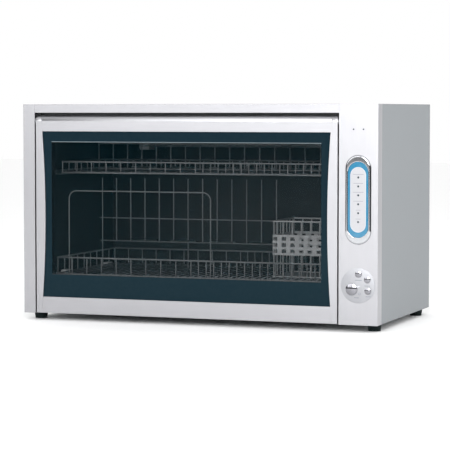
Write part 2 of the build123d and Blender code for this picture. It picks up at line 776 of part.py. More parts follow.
def tie(z):
    """A long wire behind the dividers."""
    tie_x = (divider_x[0] - TIE_OVERHANG, divider_x[-1] + TIE_OVERHANG)
    with BuildPart() as wire:
        rod((tie_x[0], tie_y, z), (tie_x[1], tie_y, z), FILL_WIRE)
    return wire.part


# The dividers between the legs start at the lower long wire.
uprights = [
    divider(x, tie_z[0] - FILL_WIRE / 2 if number % DIVIDER_LEG_EVERY else lower_deck_z)
    for number, x in enumerate(divider_x)
]
dividers = Compound(children=[*uprights, *[tie(z) for z in tie_z]])
save(dividers, "plate_dividers")


def basket_wall(start, end):
    """One side of the cutlery basket: a pierced band, with wires down to a rail and up to a rim."""
    run = Vector(*end) - Vector(*start)
    step = run.normalized()
    middle = Vector(*start) + run / 2
    columns = round(run.length / BASKET_PITCH)
    rail_z = basket_z[0] + RIM_WIRE / 2
    rim_z = basket_z[1] - RIM_WIRE / 2
    band_z = (basket_z[0] + BASKET_BAND_RISE, basket_z[0] + BASKET_BAND_RISE + BASKET_BAND)
    with BuildPart() as wall:
        with BuildSketch(
            Plane(
                origin=(middle.X, middle.Y, (band_z[0] + band_z[1]) / 2),
                x_dir=(step.X, step.Y, 0),
                z_dir=(step.Y, -step.X, 0),
            )
        ):
            Rectangle(run.length, BASKET_BAND)
            with GridLocations(BASKET_PITCH, BASKET_HOLE_PITCH, columns, BASKET_HOLE_ROWS):
                Rectangle(*BASKET_HOLE, mode=Mode.SUBTRACT)
        extrude(amount=BASKET_SHEET / 2, both=True)
        rods([((*start, z), (*end, z)) for z in (rail_z, rim_z)], RIM_WIRE)
        steps = stations(FILL_WIRE, run.length - FILL_WIRE, BASKET_PITCH)
        places = [Vector(*start) + step * distance for distance in steps]
        for low_z, high_z in ((rail_z, band_z[0] + FILL_WIRE), (band_z[1] - FILL_WIRE, rim_z)):
            rods([((p.X, p.Y, low_z), (p.X, p.Y, high_z)) for p in places], FILL_WIRE)
    return wall.part


with BuildPart() as basket_floor:
    block(
        inside(basket_x, RIM_WIRE),
        inside(basket_y, RIM_WIRE),
        (basket_z[0], basket_z[0] + BASKET_SHEET),
    )
wall_x, wall_y = inside(basket_x, RIM_WIRE / 2), inside(basket_y, RIM_WIRE / 2)
side_wall_y = inside(wall_y, RIM_WIRE / 2)
basket_walls = [
    basket_wall((basket_x[0], wall_y[0]), (basket_x[1], wall_y[0])),
    basket_wall((basket_x[0], wall_y[1]), (basket_x[1], wall_y[1])),
    basket_wall((wall_x[0], side_wall_y[0]), (wall_x[0], side_wall_y[1])),
    basket_wall((wall_x[1], side_wall_y[0]), (wall_x[1], side_wall_y[1])),
]
save(Compound(children=[*basket_walls, basket_floor.part]), "cutlery_basket")

with BuildPart() as rack_sliders:
    for x in rack_x:
        for y in inside(lower_y, SLIDER_INSET):
            block(
                (x - SLIDER_SIZE[0] / 2, x + SLIDER_SIZE[0] / 2),
                (y - SLIDER_SIZE[1] / 2, y + SLIDER_SIZE[1] / 2),
                slider_z,
            )
    add(lower_fences[2:], mode=Mode.SUBTRACT)
save(rack_sliders.part, "rack_sliders")

# ---------------------------------------------------------------- upper rack

comb_z = upper_floor_z + (RIM_WIRE + FILL_WIRE) / 2
comb = fence(
    (posts_x[1] - RIM_WIRE / 2, comb_y),
    (posts_x[-2] + RIM_WIRE / 2, comb_y),
    comb_z,
    comb_z + CUP_COMB_HEIGHT,
    [(x, comb_y) for x in posts_x[1:-1]],
)
save(Compound(children=[*fences(upper_y, upper_wire_z, upper_rim_z), comb]), "upper_rack_fences")
save(floor_grille(upper_y, upper_floor_z), "upper_rack_floor")

# ---------------------------------------------------------------- drip tray

with BuildPart() as drip_tray:
    block(tray_x, tray_y, tray_z)
    hollow_x, hollow_y = inside(tray_x, TRAY_SHEET), inside(tray_y, TRAY_SHEET)
    block(hollow_x, hollow_y, (tray_z[0] + TRAY_SHEET, tray_z[1]), Mode.SUBTRACT)
    block(tray_x, (tray_y[0] - TRAY_LIP, tray_y[0]), (tray_z[1] - TRAY_SHEET, tray_z[1]))
save(drip_tray.part, "drip_tray")

# ---------------------------------------------------------------- ultraviolet lamp

holder_y = (tub_back - HOLDER_DEPTH, tub_back)
holder_z = (lamp_z - HOLDER_HEIGHT / 2, lamp_z + HOLDER_HEIGHT / 2)

with BuildPart() as uv_lamp_tube:
    rod((lamp_x[0], lamp_y, lamp_z), (lamp_x[1], lamp_y, lamp_z), LAMP_DIAMETER)
save(uv_lamp_tube.part, "uv_lamp_tube")

with BuildPart() as uv_lamp_holders:
    for x in (lamp_x[0] - HOLDER_WIDTH / 2, lamp_x[1] + HOLDER_WIDTH / 2):
        block((x - HOLDER_WIDTH / 2, x + HOLDER_WIDTH / 2), holder_y, holder_z)
    fillet(uv_lamp_holders.edges().filter_by(Axis.X).group_by(Axis.Y)[0], HOLDER_ROUND)
save(uv_lamp_holders.part, "uv_lamp_holders")

with BuildPart() as uv_lamp_guard:
    guard_y = holder_y[0] - GUARD_WIRE / 2
    guard_x = (lamp_x[0] - HOLDER_WIDTH, lamp_x[1] + HOLDER_WIDTH)
    guard_z = inside(holder_z, HOLDER_ROUND + GUARD_WIRE / 2)
    bars_x = stations(guard_x[0] + GUARD_WIRE, guard_x[1] - GUARD_WIRE, GUARD_PITCH)
    rods([((guard_x[0], guard_y, z), (guard_x[1], guard_y, z)) for z in guard_z], GUARD_WIRE)
    rods([((x, guard_y, guard_z[0]), (x, guard_y, guard_z[1])) for x in bars_x], GUARD_WIRE)
save(uv_lamp_guard.part, "uv_lamp_guard")

# ---------------------------------------------------------------- warm air unit

housing_y = (fan_y - FAN_FRAME / 2, fan_y + FAN_FRAME / 2)
housing_z = (fan_z - FAN_FRAME / 2, fan_z + FAN_FRAME / 2)

with BuildPart() as air_grille:
    with BuildSketch(Plane.YZ.offset(tub_x[1] - GRILLE_THICKNESS)):
        with Locations((fan_y, fan_z)):
            RectangleRounded(FAN_FRAME + 2 * GRILLE_MARGIN, FAN_FRAME + 2 * GRILLE_MARGIN, GRILLE_CORNER)
            with GridLocations(0, GRILLE_SLOT_PITCH, 1, GRILLE_SLOTS):
                SlotOverall(*GRILLE_SLOT, mode=Mode.SUBTRACT)
    extrude(amount=GRILLE_THICKNESS)
save(air_grille.part, "air_grille")

with BuildPart() as heater_block:
    block(heater_x, housing_y, housing_z)
    duct_y, duct_z = inside(housing_y, HEATER_WALL), inside(housing_z, HEATER_WALL)
    block(heater_x, duct_y, duct_z, Mode.SUBTRACT)
    for i in range(HEATER_BARS):
        z = duct_z[0] + (duct_z[1] - duct_z[0]) * (i + 0.5) / HEATER_BARS
        block(heater_x, duct_y, (z - HEATER_BAR_HEIGHT / 2, z + HEATER_BAR_HEIGHT / 2))
save(heater_block.part, "heater_block")

with BuildPart() as fan_housing:
    block(fan_x, housing_y, housing_z)
    rod((fan_x[0], fan_y, fan_z), (fan_x[1], fan_y, fan_z), FAN_BORE, Mode.SUBTRACT)
    rod((carrier_x[0], fan_y, fan_z), (carrier_x[1], fan_y, fan_z), MOTOR_DIAMETER + 2 * FAN_STRUT)
    reach = FAN_BORE / 2 + FAN_STRUT / 2
    block(carrier_x, (fan_y - reach, fan_y + reach), (fan_z - FAN_STRUT / 2, fan_z + FAN_STRUT / 2))
    block(carrier_x, (fan_y - FAN_STRUT / 2, fan_y + FAN_STRUT / 2), (fan_z - reach, fan_z + reach))
save(fan_housing.part, "fan_housing")

with BuildPart() as fan_motor:
    rod((motor_x[0], fan_y, fan_z), (motor_x[1], fan_y, fan_z), MOTOR_DIAMETER)
    shaft_bore = SHAFT_DIAMETER + 2 * SHAFT_RUNNING_GAP
    rod((motor_x[0], fan_y, fan_z), (motor_x[1], fan_y, fan_z), shaft_bore, Mode.SUBTRACT)
save(fan_motor.part, "fan_motor")

with BuildPart() as fan_rotor:
    rod((rotor_x[0], fan_y, fan_z), (rotor_x[1], fan_y, fan_z), ROTOR_HUB)
    cup_x = (rotor_x[0] + ROTOR_HUB_WALL, rotor_x[1])
    cup_bore = ROTOR_HUB - 2 * ROTOR_HUB_WALL
    rod((cup_x[0], fan_y, fan_z), (cup_x[1], fan_y, fan_z), cup_bore, Mode.SUBTRACT)
    rod((rotor_x[0], fan_y, fan_z), (carrier_x[0] - REST_GAP, fan_y, fan_z), SHAFT_DIAMETER)
    tip = FAN_BORE / 2 - ROTOR_TIP_GAP
    root = ROTOR_HUB / 2 - ROTOR_HUB_WALL / 2
    blade_middle = (rotor_x[0] + rotor_x[1]) / 2
    for i in range(BLADE_COUNT):
        turn = Plane(origin=(blade_middle, fan_y, fan_z), x_dir=(1, 0, 0), z_dir=(
            0, cos(2 * pi * i / BLADE_COUNT), sin(2 * pi * i / BLADE_COUNT)))
        with Locations(turn):
            with Locations(Location((0, 0, root), (0, 0, BLADE_PITCH_DEGREES))):
                Box(
                    BLADE_CHORD,
                    BLADE_THICKNESS,
                    tip - root,
                    align=(Align.CENTER, Align.CENTER, Align.MIN),
                )
save(fan_rotor.part, "fan_rotor")

# ---------------------------------------------------------------- controls


def cap(x, z, diameter, edge_y, crown_y, back_y):
    """A round body with its axis front to back and a domed face."""
    with BuildPart() as body:
        with BuildSketch(Plane(origin=(x, 0, z), x_dir=(1, 0, 0), z_dir=(0, 0, 1))):
            with BuildLine():
                radius = diameter / 2
                rise = edge_y - crown_y
                share = 0.5 * radius
                dome = (radius**2 + rise**2) / (2 * rise)
                share_y = crown_y + dome - (dome**2 - share**2) ** 0.5
                ThreePointArc((0, crown_y), (share, share_y), (radius, edge_y))
                Polyline((radius, edge_y), (radius, back_y), (0, back_y), (0, crown_y))
            make_face()
        revolve(axis=Axis((x, 0, z), (0, 1, 0)))
    return body.part


def button(x, z, diameter, proud, travel):
    """A domed cap with a retaining flange behind the disc, and a stem that meets its switch."""
    flange_front = front + SPIGOT_DEPTH + REST_GAP
    flange = (flange_front, flange_front + BUTTON_FLANGE_THICKNESS)
    stem_end = plunger_y - travel - REST_GAP
    crown = front - proud
    with BuildPart() as body:
        add(cap(x, z, diameter, crown + diameter / 12, crown, flange[1]))
        rod((x, flange[0], z), (x, flange[1], z), diameter + 2 * BUTTON_FLANGE)
        rod((x, flange[0], z), (x, stem_end, z), STEM_DIAMETER)
    return body.part


with BuildPart() as control_disc:
    add(cap(column_middle, disc_z, DISC_DIAMETER, front - DISC_RIM, front - DISC_DOME, front))
    rod((column_middle, front, disc_z), (column_middle, front + SPIGOT_DEPTH, disc_z), SPIGOT_DIAMETER)
    shafts = [(*power_at, POWER_DIAMETER), *[(x, z, OPTION_DIAMETER) for x, z in option_at]]
    for x, z, diameter in shafts:
        hole = diameter + 2 * BUTTON_CLEARANCE
        rod((x, front - DISC_DOME, z), (x, front + SPIGOT_DEPTH, z), hole, Mode.SUBTRACT)
save(control_disc.part, "control_disc")

save(button(*power_at, POWER_DIAMETER, POWER_PROUD, POWER_TRAVEL), "power_button")
for number, place in enumerate(option_at, 1):
    save(button(*place, OPTION_DIAMETER, OPTION_PROUD, OPTION_TRAVEL), f"option_button_{number}")


def slot_ring(outer, inner, y):
    """An upright slot-shaped band between two depths, around a slot-shaped hole."""
    with BuildPart() as band:
        with BuildSketch(facing(y[0])):
            with Locations((column_middle, indicator_z)):
                SlotOverall(*outer, rotation=90)
                if inner:
                    SlotOverall(*inner, rotation=90, mode=Mode.SUBTRACT)
        extrude(amount=y[0] - y[1])
    return band.part


tongue = (RING_SIZE[0] + 2 * BEZEL_TONGUE, RING_SIZE[1] + 2 * BEZEL_TONGUE)
indicator_back = front + INDICATOR_DEPTH

with BuildPart() as indicator_bezel:
    add(slot_ring(BEZEL_SIZE, RING_SIZE, (front - BEZEL_PROUD, front)))
    face_edges = indicator_bezel.faces().sort_by(Axis.Y)[0]
    fillet(face_edges.outer_wire().edges(), BEZEL_OUTER_ROUND)
    fillet(indicator_bezel.faces().sort_by(Axis.Y)[0].inner_wires()[0].edges(), BEZEL_INNER_ROUND)
    add(slot_ring(tongue, RING_SIZE, (front, indicator_back)))
save(indicator_bezel.part, "indicator_bezel")

save(slot_ring(RING_SIZE, INSERT_SIZE, (front - RING_PROUD, indicator_back)), "indicator_ring")

with BuildPart() as indicator_insert:
    add(slot_ring(INSERT_SIZE, None, (front - INSERT_PROUD, indicator_back)))
    for z in lamp_guides:
        guide = ((column_middle, front - INSERT_PROUD, z), (column_middle, indicator_back, z))
        rod(*guide, LAMP_GUIDE, Mode.SUBTRACT)
save(indicator_insert.part, "indicator_insert")

guide_crown = front - LAMP_GUIDE_PROUD
guides = [
    cap(column_middle, z, LAMP_GUIDE, guide_crown + LAMP_GUIDE_CROWN, guide_crown, board_y[0])
    for z in lamp_guides
]
save(Compound(children=guides), "indicator_lamps")

with BuildPart() as status_lenses:
    for x in lens_x:
        rod((x, front - LENS_PROUD, lens_z), (x, panel_back, lens_z), LENS_DIAMETER)
        rod((x, panel_back, lens_z), (x, panel_back + LENS_PROUD, lens_z), LENS_FLANGE)
save(status_lenses.part, "status_lenses")

board_x = (column_middle - BOARD_SIZE[0] / 2, column_middle + BOARD_SIZE[0] / 2)

with BuildPart() as control_board:
    block(board_x, board_y, board_z)
save(control_board.part, "control_board")

with BuildPart() as board_standoffs:
    for x in inside(board_x, STANDOFF_INSET):
        for z in inside(board_z, STANDOFF_INSET):
            rod((x, panel_back, z), (x, board_y[0], z), STANDOFF_DIAMETER)
save(board_standoffs.part, "board_standoffs")

with BuildPart() as tact_switches:
    for x, z, _ in shafts:
        half = SWITCH_SIZE / 2
        body_y = (board_y[0] - SWITCH_BODY, board_y[0])
        block((x - half, x + half), body_y, (z - half, z + half))
        rod((x, plunger_y, z), (x, body_y[0], z), PLUNGER_DIAMETER)
save(tact_switches.part, "tact_switches")

with BuildPart() as power_supply:
    supply_x = (right - SUPPLY_RIGHT_GAP - SUPPLY_SIZE[0], right - SUPPLY_RIGHT_GAP)
    supply_y = (front + SUPPLY_FRONT, front + SUPPLY_FRONT + SUPPLY_SIZE[1])
    block(supply_x, supply_y, (base_top, base_top + SUPPLY_SIZE[2]))
    chamfer(power_supply.edges().group_by(Axis.Z)[-1], SUPPLY_CHAMFER)
save(power_supply.part, "power_supply")

# ---------------------------------------------------------------- rear fittings

with BuildPart() as mains_inlet:
    with BuildSketch(facing(rear + REAR_PROUD)):
        with Locations(inlet_at):
            RectangleRounded(*INLET_FLANGE, INLET_CORNER)
    extrude(amount=REAR_PROUD)
    with BuildSketch(facing(rear)):
        with Locations(inlet_at):
            Rectangle(*INLET_BODY)
    extrude(amount=INLET_DEPTH)
    with BuildSketch(facing(rear + REAR_PROUD)):
        with Locations(inlet_at):
            Rectangle(*INLET_RECESS)
    extrude(amount=INLET_RECESS_DEPTH, mode=Mode.SUBTRACT)
    recess_end = rear + REAR_PROUD - INLET_RECESS_DEPTH
    for across, up in INLET_PIN_PLACES:
        with Locations((inlet_at[0] + across, recess_end, inlet_at[1] + up)):
            Box(*INLET_PIN, align=(Align.CENTER, Align.MIN, Align.CENTER))
save(mains_inlet.part, "mains_inlet")

with BuildPart() as rear_screws:
    screws = [*side_screws, *long_screws]
    rods([((x, rear - SCREW_LENGTH, z), (x, rear, z)) for x, z in screws], SCREW_DIAMETER)
    rods([((x, rear, z), (x, rear + SCREW_HEAD[1], z)) for x, z in screws], SCREW_HEAD[0])
save(rear_screws.part, "rear_screws")

# ---------------------------------------------------------------- feet

with BuildPart() as rubber_feet:
    for x, y in feet_at:
        with Locations((x, y, 0)):
            Cone(
                FOOT_BOTTOM_DIAMETER / 2,
                FOOT_DIAMETER / 2,
                FOOT_HEIGHT,
                align=(Align.CENTER, Align.CENTER, Align.MIN),
            )
        rod((x, y, 0), (x, y, FOOT_RECESS[1]), FOOT_RECESS[0], Mode.SUBTRACT)
        rod((x, y, FOOT_RECESS[1]), (x, y, FOOT_HEIGHT), SCREW_DIAMETER, Mode.SUBTRACT)
save(rubber_feet.part, "rubber_feet")

with BuildPart() as foot_screws:
    for x, y in feet_at:
        rod((x, y, FOOT_RECESS[1]), (x, y, base_top + FOOT_SCREW_END), SCREW_DIAMETER)
        rod((x, y, FOOT_RECESS[1] - FOOT_SCREW_HEAD), (x, y, FOOT_RECESS[1]), SCREW_HEAD[0])
save(foot_screws.part, "foot_screws")
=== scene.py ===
import math

import bmesh
import bpy
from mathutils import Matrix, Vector


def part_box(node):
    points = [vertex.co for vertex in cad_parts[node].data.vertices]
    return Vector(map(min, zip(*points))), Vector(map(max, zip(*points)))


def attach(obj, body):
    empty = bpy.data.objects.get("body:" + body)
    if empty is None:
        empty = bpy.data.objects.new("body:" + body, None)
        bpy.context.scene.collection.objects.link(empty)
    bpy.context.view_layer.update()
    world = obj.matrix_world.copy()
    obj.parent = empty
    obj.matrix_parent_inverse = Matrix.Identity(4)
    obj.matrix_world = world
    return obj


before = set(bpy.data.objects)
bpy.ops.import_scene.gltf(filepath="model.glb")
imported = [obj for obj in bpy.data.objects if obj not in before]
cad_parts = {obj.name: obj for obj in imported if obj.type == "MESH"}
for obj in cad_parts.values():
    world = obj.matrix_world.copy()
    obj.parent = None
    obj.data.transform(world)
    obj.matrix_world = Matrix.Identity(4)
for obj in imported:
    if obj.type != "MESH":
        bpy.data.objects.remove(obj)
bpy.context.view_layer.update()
scene = bpy.context.scene
MM = 0.001

# ---------------------------------------------------------------- camera

# The reference picture shows the front square on and the right side in strong perspective.
# The camera stands where it best fits the corners of both.
CAMERA_AZIMUTH = 20.3
CAMERA_ELEVATION = 3.3
CAMERA_DISTANCE = 4.02
CAMERA_TARGET = (-0.0096, 0.0022, 0.1876)
FOCAL_PIXELS = 1964  # focal length in pixels of a picture FRAME_PIXELS wide
FRAME_PIXELS = 450
SENSOR = 36  # in mm


def add_camera():
    """The camera of the reference view."""
    azimuth, elevation = math.radians(CAMERA_AZIMUTH), math.radians(CAMERA_ELEVATION)
    back = Vector((
        math.sin(azimuth) * math.cos(elevation),
        -math.cos(azimuth) * math.cos(elevation),
        math.sin(elevation),
    ))
    data = bpy.data.cameras.new("camera")
    data.sensor_width = SENSOR
    data.lens = SENSOR * FOCAL_PIXELS / FRAME_PIXELS
    camera = bpy.data.objects.new("camera", data)
    camera.location = Vector(CAMERA_TARGET) + back * CAMERA_DISTANCE
    camera.rotation_mode = "QUATERNION"
    camera.rotation_quaternion = (-back).to_track_quat("-Z", "Y")
    scene.collection.objects.link(camera)
    scene.camera = camera


add_camera()

# ---------------------------------------------------------------- node helpers

NOISE_DETAIL = 4
NOISE_LOW, NOISE_HIGH = 0.3, 0.7  # nearly all of the noise lies between these
BUMP_DISTANCE = 0.0002


def noise(tree, scale, stretch):
    """Noise in the object's own space, finer along an axis where stretch is larger."""
    place = tree.nodes.new("ShaderNodeTexCoord")
    mapping = tree.nodes.new("ShaderNodeMapping")
    mapping.inputs["Scale"].default_value = stretch
    texture = tree.nodes.new("ShaderNodeTexNoise")
    texture.inputs["Scale"].default_value = scale
    texture.inputs["Detail"].default_value = NOISE_DETAIL
    tree.links.new(place.outputs["Object"], mapping.inputs["Vector"])
    tree.links.new(mapping.outputs["Vector"], texture.inputs["Vector"])
    return texture.outputs["Fac"]


def ramp(tree, value, stops):
    """A colour ramp over a value. Each stop is a place and a colour or a grey."""
    node = tree.nodes.new("ShaderNodeValToRGB")
    elements = node.color_ramp.elements
    while len(elements) < len(stops):
        elements.new(0.5)
    for element, (place, colour) in zip(elements, stops):
        element.position = place
        grey = not isinstance(colour, tuple)
        element.color = (colour, colour, colour, 1) if grey else (*colour, 1)
    tree.links.new(value, node.inputs["Fac"])
    return node.outputs["Color"]


def shade(name, colour, spread, roughness, rough_spread, scale, stretch, bump, metallic):
    """A finish whose colour and roughness wander a little with the same noise that bumps it."""
    material = bpy.data.materials.new(name)
    material.use_nodes = True
    tree = material.node_tree
    shader = tree.nodes["Principled BSDF"]
    value = noise(tree, scale, stretch)
    low = tuple(max(0, c - spread) for c in colour)
    high = tuple(min(1, c + spread) for c in colour)
    tint = ramp(tree, value, [(NOISE_LOW, low), (NOISE_HIGH, high)])
    tree.links.new(tint, shader.inputs["Base Color"])
    smooth, rough = roughness - rough_spread, roughness + rough_spread
    grain = ramp(tree, value, [(NOISE_LOW, smooth), (NOISE_HIGH, rough)])
    tree.links.new(grain, shader.inputs["Roughness"])
    shader.inputs["Metallic"].default_value = metallic
    if bump:
        node = tree.nodes.new("ShaderNodeBump")
        node.inputs["Strength"].default_value = bump
        node.inputs["Distance"].default_value = BUMP_DISTANCE
        tree.links.new(value, node.inputs["Height"])
        tree.links.new(node.outputs["Normal"], shader.inputs["Normal"])
    return material, shader


# ---------------------------------------------------------------- materials

EVEN = (1, 1, 1)  # noise that is the same in all directions
FINER = (4, 4, 4)
BRUSHED_UP = (30, 30, 0.6)  # fine lines that run up and down
BRUSHED_ACROSS = (0.6, 30, 30)  # fine lines that run from side to side

# name, colour, its spread, roughness, its spread, noise scale, noise stretch, bump, metallic
LOOKS = {
    # sheet metal and paint
    "brushed_up": (
        "stainless_brushed_up", (0.43, 0.43, 0.45), 0.008, 0.36, 0.03, 40, BRUSHED_UP, 0.03, 1.0),
    "brushed_across": (
        "stainless_brushed_across", (0.43, 0.43, 0.45), 0.008, 0.36, 0.03, 40, BRUSHED_ACROSS,
        0.03, 1.0),
    "side_paint": (
        "side_powder_coat", (0.272, 0.290, 0.304), 0.006, 0.62, 0.04, 900, EVEN, 0.08, 0.0),
    "galvanised": (
        "zinc_plated_sheet", (0.52, 0.54, 0.55), 0.03, 0.46, 0.06, 60, EVEN, 0.03, 0.8),
    "tub_steel": (
        "tub_stainless", (0.50, 0.52, 0.54), 0.015, 0.30, 0.04, 30, BRUSHED_ACROSS, 0.03, 1.0),
    "tub_enamel": (
        "dark_grey_enamel", (0.030, 0.036, 0.038), 0.003, 0.34, 0.04, 500, EVEN, 0.05, 0.0),
    "screw_steel": (
        "plated_screw_steel", (0.66, 0.67, 0.68), 0.02, 0.3, 0.05, 300, EVEN, 0.05, 1.0),
    # wire and chrome
    "rack_wire": ("plated_wire", (0.36, 0.37, 0.38), 0.02, 0.34, 0.03, 300, EVEN, 0.03, 0.5),
    # The rack floors take the same plated wire, made darker: painted shade, as the floors lie in
    # the shade of the racks.
    "shaded_floor_wire": (
        "plated_wire_painted_shade", (0.22, 0.23, 0.24), 0.015, 0.4, 0.03, 300, EVEN, 0.03, 0.5),
    "basket_metal": (
        "bright_plated_basket", (0.60, 0.61, 0.62), 0.02, 0.34, 0.03, 300, EVEN, 0.03, 0.5),
    "chrome": ("polished_chrome", (0.45, 0.46, 0.48), 0.01, 0.10, 0.02, 200, EVEN, 0.01, 1.0),
    "dark_chrome": (
        "polished_dark_chrome", (0.25, 0.25, 0.27), 0.01, 0.13, 0.02, 200, EVEN, 0.01, 1.0),
    "satin_disc": (
        "spun_satin_disc", (0.355, 0.36, 0.38), 0.012, 0.42, 0.04, 60, FINER, 0.03, 1.0),
    # plastic and rubber
    "white_plastic": (
        "white_plastic", (0.78, 0.79, 0.80), 0.01, 0.45, 0.04, 700, EVEN, 0.08, 0.0),
    "black_plastic": (
        "black_plastic", (0.022, 0.024, 0.027), 0.004, 0.5, 0.06, 700, EVEN, 0.12, 0.0),
    "rubber": ("black_rubber", (0.004, 0.0105, 0.0108), 0.001, 0.75, 0.08, 500, EVEN, 0.2, 0.0),
    "seal_rubber": (
        "grey_seal_rubber", (0.08, 0.082, 0.085), 0.01, 0.7, 0.06, 400, EVEN, 0.15, 0.0),
    "circuit_board": (
        "green_solder_mask", (0.02, 0.16, 0.07), 0.01, 0.35, 0.05, 500, EVEN, 0.08, 0.0),
    "white_insert": (
        "white_satin_insert", (0.39, 0.39, 0.41), 0.008, 0.32, 0.03, 300, EVEN, 0.02, 0.0),
    # The insert's raised lip is real, but its lighter, bluer white than the insert is a painted
    # highlight along the edge.
    "lip_highlight_white": (
        "lip_painted_highlight", (0.47, 0.50, 0.53), 0.008, 0.2, 0.03, 300, EVEN, 0.0, 0.0),
    "lamp_lens": ("smoked_lens", (0.035, 0.05, 0.06), 0.01, 0.18, 0.03, 300, EVEN, 0.02, 0.0),
    "blue_ring": (
        "translucent_blue_ring", (0.023, 0.165, 0.285), 0.015, 0.14, 0.02, 80, EVEN, 0.02, 0.0),
    # glass and print
    "tinted_glass": (
        "tinted_glass", (0.002, 0.008, 0.011), 0.001, 0.05, 0.01, 3, EVEN, 0.0, 0.0),
    "lamp_glass": (
        "clear_lamp_tube", (0.72, 0.76, 0.82), 0.01, 0.12, 0.02, 100, EVEN, 0.0, 0.0),
    "frit": (
        "dark_printed_border", (0.0065, 0.016, 0.0226), 0.001, 0.10, 0.015, 120, EVEN, 0.0, 0.0),
    # A pale line on the glass along the window's top: a painted highlight, standing for the light
    # on the tub's front edge.
    "window_highlight_line": (
        "pale_painted_highlight_line", (0.13, 0.165, 0.18), 0.01, 0.35, 0.04, 400, EVEN, 0.0, 0.0),
    # A dark line on the glass along the window's lower edge.
    "dark_line": (
        "dark_window_edge_line", (0.004, 0.007, 0.009), 0.001, 0.3, 0.04, 400, EVEN, 0.0, 0.0),
    "print_grey": ("grey_print", (0.20, 0.21, 0.23), 0.01, 0.5, 0.04, 500, EVEN, 0.03, 0.0),
    "print_pale": ("pale_grey_print", (0.23, 0.24, 0.26), 0.01, 0.5, 0.04, 500, EVEN, 0.03, 0.0),
    # stage
    "floor": ("pale_floor", (0.94, 0.94, 0.94), 0.004, 0.6, 0.03, 5, EVEN, 0.0, 0.0),
    "dark_card": ("dark_card", (0.02, 0.022, 0.025), 0.002, 0.8, 0.05, 5, EVEN, 0.0, 0.0),
}

# The coating on the glass reflects less than plain glass, and a cool colour.
COATING_SPECULAR = 0.06
COATING_TINT = (0.55, 0.92, 1.0, 1)

# what some finishes have beyond their row above
EXTRA_INPUTS = (
    ("side_paint", "Specular IOR Level", 0.3),
    ("rubber", "Specular IOR Level", 0.2),
    ("blue_ring", "Coat Weight", 0.6),
    ("tinted_glass", "Alpha", 0.32),
    ("lamp_glass", "Alpha", 0.7),
    ("frit", "Specular IOR Level", COATING_SPECULAR),
    ("frit", "Specular Tint", COATING_TINT),
    ("tinted_glass", "Specular IOR Level", COATING_SPECULAR),
    ("tinted_glass", "Specular Tint", COATING_TINT),
)

materials, shaders = {}, {}
for finish, look in LOOKS.items():
    materials[finish], shaders[finish] = shade(*look)
for finish, socket, value in EXTRA_INPUTS:
    shaders[finish].inputs[socket].default_value = value

FINISHES = {
    "brushed_up": ("left_post", "control_fascia", "door_left_strip", "door_right_strip"),
    "brushed_across": ("top_rail", "door_top_strip", "door_bottom_strip"),
    "side_paint": ("left_side_panel", "right_side_panel", "top_panel"),
    "galvanised": ("base_pan", "rear_panel", "hinge_brackets", "fan_motor"),
    "tub_enamel": (
        "tub_left_wall", "tub_right_wall", "tub_roof", "tub_floor", "tub_rear_wall", "air_grille",
    ),
    "tub_steel": ("door_sill", "lower_rack_runners", "upper_rack_runners", "drip_tray"),
    "rack_wire": ("lower_rack_fences", "plate_dividers", "upper_rack_fences", "uv_lamp_guard"),
    # painted shade: the floor wire is a darker copy of the fence wire
    "shaded_floor_wire": ("lower_rack_floor", "upper_rack_floor"),
    "basket_metal": ("cutlery_basket",),
    "chrome": ("indicator_bezel",),
    "dark_chrome": ("power_button", "option_button_1", "option_button_2", "option_button_3"),
    "white_plastic": ("uv_lamp_holders", "board_standoffs", "rack_sliders"),
    "black_plastic": (
        "heater_block", "fan_housing", "fan_rotor", "tact_switches", "power_supply",
        "mains_inlet", "door_inner_frame",
    ),
    "rubber": ("rubber_feet",),
    "seal_rubber": ("door_seal",),
    "screw_steel": ("foot_screws", "rear_screws", "hinge_pins"),
    "circuit_board": ("control_board",),
    "white_insert": ("indicator_insert",),
    "lamp_lens": ("indicator_lamps", "status_lenses"),
    "satin_disc": ("control_disc",),
    "blue_ring": ("indicator_ring",),
    "tinted_glass": ("door_glass",),
    "lamp_glass": ("uv_lamp_tube",),
}


def paint(thing, finish):
    """Gives an object one finish."""
    thing.data.materials.clear()
    thing.data.materials.append(materials[finish])


for finish, nodes in FINISHES.items():
    for node in nodes:
        paint(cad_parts[node], finish)

# ---------------------------------------------------------------- soft edges

SOFT_EDGES = {  # the width of the fold or cut edge on each visible sheet
    0.5 * MM: ("left_post", "top_rail"),
    0.4 * MM: ("door_left_strip", "door_right_strip", "door_top_strip", "door_bottom_strip"),
    0.6 * MM: ("left_side_panel", "right_side_panel", "top_panel", "base_pan"),
}
SOFT_SEGMENTS = 2
SOFT_ANGLE = math.radians(50)  # edges less sharp than this stay as they are
WELD_GAP = 0.01 * MM


def soften(thing, width):
    """Rounds the sharp edges of an object a little, so that they catch the light."""
    weld = thing.modifiers.new("weld", "WELD")
    weld.merge_threshold = WELD_GAP
    bevel = thing.modifiers.new("bevel", "BEVEL")
    bevel.width = width
    bevel.segments = SOFT_SEGMENTS
    bevel.limit_method = "ANGLE"
    bevel.angle_limit = SOFT_ANGLE
    bevel.use_clamp_overlap = True
    bevel.harden_normals = True


for width, nodes in SOFT_EDGES.items():
    for node in nodes:
        soften(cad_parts[node], width)

# ---------------------------------------------------------------- shapes made here

CORNER_STEPS = 6
LIP_STEPS = 16
PIECE_BEVEL_SEGMENTS = 3


def new_object(name, build):
    """A new mesh object in the scene. build fills the bmesh that it is given."""
    mesh = bpy.data.meshes.new(name)
    shape = bmesh.new()
    build(shape)
    shape.to_mesh(mesh)
    shape.free()
    thing = bpy.data.objects.new(name, mesh)
    scene.collection.objects.link(thing)
    return thing


